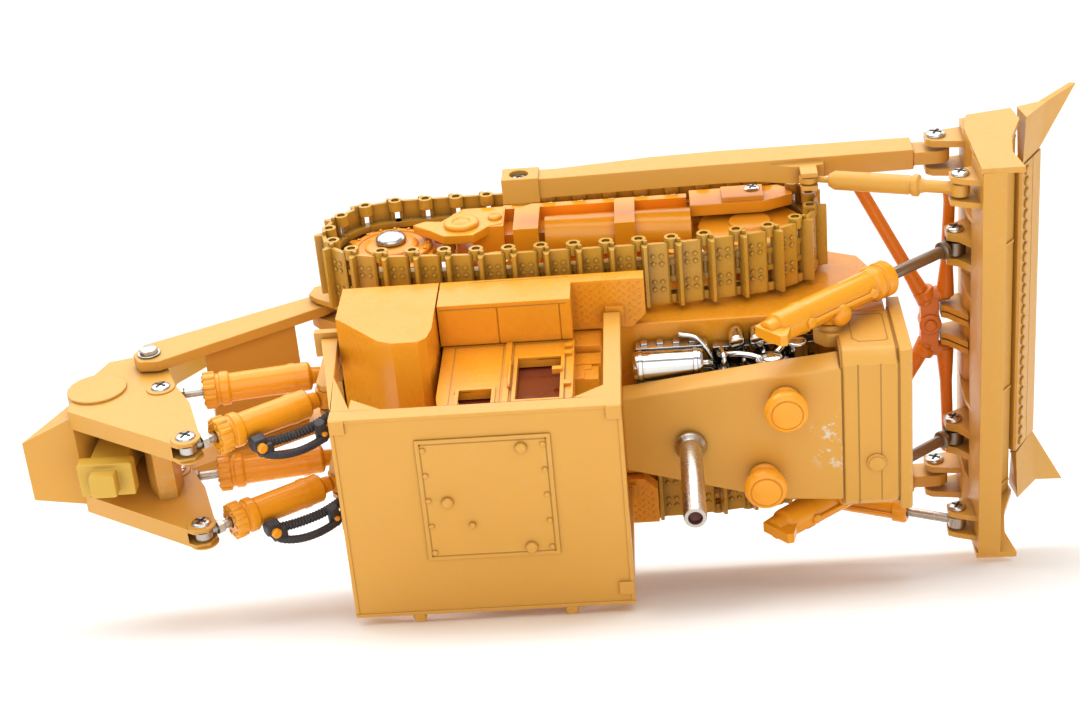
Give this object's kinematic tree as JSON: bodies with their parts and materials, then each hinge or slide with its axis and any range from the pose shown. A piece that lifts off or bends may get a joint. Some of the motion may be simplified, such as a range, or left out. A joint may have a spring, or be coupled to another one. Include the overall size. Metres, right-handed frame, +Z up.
{
  "type": "toy bulldozer",
  "caption": "Small-scale tracked bulldozer toy with wide lifting blade, open canopy over the cab and a rear ripper on levelling links.",
  "frame": {"origin": "on the ground under the middle of the whole length and width", "axes": "+X forward towards the blade, +Y to the machine's left, +Z up"},
  "size_m": [0.2152, 0.0946, 0.0822],
  "materials": {
    "ochre_paint": "satin ochre paint over a casting, worn at edges",
    "yellow_plastic": "semi-gloss moulded orange-yellow plastic",
    "orange_plastic": "semi-gloss orange plastic",
    "track_plastic": "satin mustard plastic",
    "bare_steel": "bare turned steel",
    "chrome_plating": "bright plating on plastic",
    "red_glazing": "clear dark red plastic",
    "hose_rubber": "flexible dark grey hose"
  },
  "bodies": {
    "machine": {"hull": "yellow_plastic", "ripper_bracket": "ochre_paint", "hood": "ochre_paint", "radiator_housing": "yellow_plastic", "radiator_guard": "ochre_paint", "engine": "chrome_plating", "silencer": "chrome_plating", "exhaust_pipe": "bare_steel", "precleaner_left": "yellow_plastic", "precleaner_right": "yellow_plastic", "cab": "yellow_plastic", "cab_glazing": "red_glazing", "fuel_tank": "yellow_plastic", "canopy": "ochre_paint", "roof_hatch": "ochre_paint", "left_fender": "yellow_plastic", "left_rear_foot": "ochre_paint", "left_track_belt": "track_plastic", "left_track_frame": "yellow_plastic", "left_idler_yoke": "yellow_plastic", "right_fender": "yellow_plastic", "right_rear_foot": "ochre_paint", "right_track_belt": "track_plastic", "right_track_frame": "yellow_plastic", "right_idler_yoke": "yellow_plastic"},
    "blade_frame": {"blade": "ochre_paint", "cutting_edge": "ochre_paint", "left_end_bit": "ochre_paint", "right_end_bit": "ochre_paint", "left_push_arm": "ochre_paint", "right_push_arm": "ochre_paint", "left_brace": "yellow_plastic", "right_tilt_barrel": "yellow_plastic", "right_tilt_rod": "bare_steel", "centre_link": "orange_plastic"},
    "ripper_arm": {"ripper_beam": "ochre_paint"},
    "ripper_head": {"ripper_frame": "ochre_paint", "ripper_shank": "yellow_plastic", "left_hinge_pin": "bare_steel", "right_hinge_pin": "bare_steel"},
    "left_drive": {"left_sprocket": "orange_plastic", "left_sprocket_rivet": "bare_steel"},
    "left_front_wheel": {"left_idler": "yellow_plastic"},
    "left_lift_barrel_body": {"left_lift_barrel": "yellow_plastic"},
    "left_lift_rod_body": {"left_lift_rod": "bare_steel"},
    "right_drive": {"right_sprocket": "orange_plastic", "right_sprocket_rivet": "bare_steel"},
    "right_front_wheel": {"right_idler": "yellow_plastic"},
    "right_lift_barrel_body": {"right_lift_barrel": "yellow_plastic"},
    "right_lift_rod_body": {"right_lift_rod": "bare_steel"},
    "left_ripper_lift_barrel_body": {"left_ripper_lift_barrel": "yellow_plastic"},
    "left_ripper_lift_rod_body": {"left_ripper_lift_rod": "bare_steel"},
    "right_ripper_lift_barrel_body": {"right_ripper_lift_barrel": "yellow_plastic"},
    "right_ripper_lift_rod_body": {"right_ripper_lift_rod": "bare_steel"},
    "left_ripper_tilt_barrel_body": {"left_ripper_tilt_barrel": "yellow_plastic", "left_hose_set": "hose_rubber"},
    "left_ripper_tilt_rod_body": {"left_ripper_tilt_rod": "bare_steel"},
    "right_ripper_tilt_barrel_body": {"right_ripper_tilt_barrel": "yellow_plastic", "right_hose_set": "hose_rubber"},
    "right_ripper_tilt_rod_body": {"right_ripper_tilt_rod": "bare_steel"}
  },
  "joints": [
    {"name": "left_drive_turn", "type": "hinge", "parent": "machine", "child": "left_drive", "pos_m": [-0.03465, 0.0247, 0.016], "axis": [0, 1, 0], "continuous": true},
    {"name": "left_front_wheel_turn", "type": "hinge", "parent": "machine", "child": "left_front_wheel", "pos_m": [0.03935, 0.0247, 0.016], "axis": [0, 1, 0], "continuous": true},
    {"name": "right_drive_turn", "type": "hinge", "parent": "machine", "child": "right_drive", "pos_m": [-0.03465, -0.0247, 0.016], "axis": [0, 1, 0], "continuous": true},
    {"name": "right_front_wheel_turn", "type": "hinge", "parent": "machine", "child": "right_front_wheel", "pos_m": [0.03935, -0.0247, 0.016], "axis": [0, 1, 0], "continuous": true},
    {"name": "blade_lift", "type": "hinge", "parent": "machine", "child": "blade_frame", "pos_m": [-0.00715, 0, 0.014], "axis": [0, -1, 0], "range_deg": [0, 8]},
    {"name": "left_lift_barrel_swing", "type": "hinge", "parent": "machine", "child": "left_lift_barrel_body", "pos_m": [0.05285, 0.022, 0.0445], "axis": [0, -1, 0], "range_deg": [0, 16.5]},
    {"name": "left_lift_rod_slide", "type": "slide", "parent": "left_lift_barrel_body", "child": "left_lift_rod_body", "axis": [0.7673, 0, -0.6413], "range_m": [-0.0083, 0]},
    {"name": "right_lift_barrel_swing", "type": "hinge", "parent": "machine", "child": "right_lift_barrel_body", "pos_m": [0.05285, -0.022, 0.0445], "axis": [0, -1, 0], "range_deg": [0, 16.5]},
    {"name": "right_lift_rod_slide", "type": "slide", "parent": "right_lift_barrel_body", "child": "right_lift_rod_body", "axis": [0.7673, 0, -0.6413], "range_m": [-0.0083, 0]},
    {"name": "ripper_lift", "type": "hinge", "parent": "machine", "child": "ripper_arm", "pos_m": [-0.05065, 0, 0.0115], "axis": [0, 1, 0], "range_deg": [-4, 10]},
    {"name": "ripper_level", "type": "hinge", "parent": "ripper_arm", "child": "ripper_head", "pos_m": [-0.08465, 0, 0.033], "axis": [0, 1, 0], "range_deg": [-10.2, 4.2]},
    {"name": "left_ripper_lift_swing", "type": "hinge", "parent": "machine", "child": "left_ripper_lift_barrel_body", "pos_m": [-0.04685, 0.0097, 0.037], "axis": [0, 1, 0], "range_deg": [-4.6, 11.3]},
    {"name": "left_ripper_lift_slide", "type": "slide", "parent": "left_ripper_lift_barrel_body", "child": "left_ripper_lift_rod_body", "axis": [-0.9837, 0, 0.1799], "range_m": [-0.0027, 0.0011]},
    {"name": "right_ripper_lift_swing", "type": "hinge", "parent": "machine", "child": "right_ripper_lift_barrel_body", "pos_m": [-0.04685, -0.0097, 0.037], "axis": [0, 1, 0], "range_deg": [-4.6, 11.3]},
    {"name": "right_ripper_lift_slide", "type": "slide", "parent": "right_ripper_lift_barrel_body", "child": "right_ripper_lift_rod_body", "axis": [-0.9837, 0, 0.1799], "range_m": [-0.0027, 0.0011]},
    {"name": "left_ripper_tilt_swing", "type": "hinge", "parent": "machine", "child": "left_ripper_tilt_barrel_body", "pos_m": [-0.04685, 0.0097, 0.0468], "axis": [0, 1, 0], "range_deg": [-5.4, 13.3]},
    {"name": "left_ripper_tilt_slide", "type": "slide", "parent": "left_ripper_tilt_barrel_body", "child": "left_ripper_tilt_rod_body", "axis": [-0.8177, 0, 0.5757], "range_m": [-0.0002, 0.0005]},
    {"name": "right_ripper_tilt_swing", "type": "hinge", "parent": "machine", "child": "right_ripper_tilt_barrel_body", "pos_m": [-0.04685, -0.0097, 0.0468], "axis": [0, 1, 0], "range_deg": [-5.4, 13.3]},
    {"name": "right_ripper_tilt_slide", "type": "slide", "parent": "right_ripper_tilt_barrel_body", "child": "right_ripper_tilt_rod_body", "axis": [-0.8177, 0, 0.5757], "range_m": [-0.0002, 0.0005]}
  ],
  "couplings": [
    {"joint": "left_front_wheel_turn", "follows": "left_drive_turn", "ratio": 1},
    {"joint": "right_front_wheel_turn", "follows": "right_drive_turn", "ratio": 1},
    {"joint": "left_lift_barrel_swing", "follows": "blade_lift", "ratio": 2.0342},
    {"joint": "left_lift_rod_slide", "follows": "blade_lift", "m_per_rad": -0.058109},
    {"joint": "right_lift_barrel_swing", "follows": "blade_lift", "ratio": 2.0342},
    {"joint": "right_lift_rod_slide", "follows": "blade_lift", "m_per_rad": -0.058109},
    {"joint": "ripper_level", "follows": "ripper_lift", "ratio": -1},
    {"joint": "left_ripper_lift_swing", "follows": "ripper_lift", "ratio": 1.1097},
    {"joint": "left_ripper_lift_slide", "follows": "ripper_lift", "m_per_rad": -0.014711},
    {"joint": "right_ripper_lift_swing", "follows": "ripper_lift", "ratio": 1.1097},
    {"joint": "right_ripper_lift_slide", "follows": "ripper_lift", "m_per_rad": -0.014711},
    {"joint": "left_ripper_tilt_swing", "follows": "ripper_lift", "ratio": 1.3058},
    {"joint": "left_ripper_tilt_slide", "follows": "ripper_lift", "m_per_rad": 0.002632},
    {"joint": "right_ripper_tilt_swing", "follows": "ripper_lift", "ratio": 1.3058},
    {"joint": "right_ripper_tilt_slide", "follows": "ripper_lift", "m_per_rad": 0.002632}
  ]
}
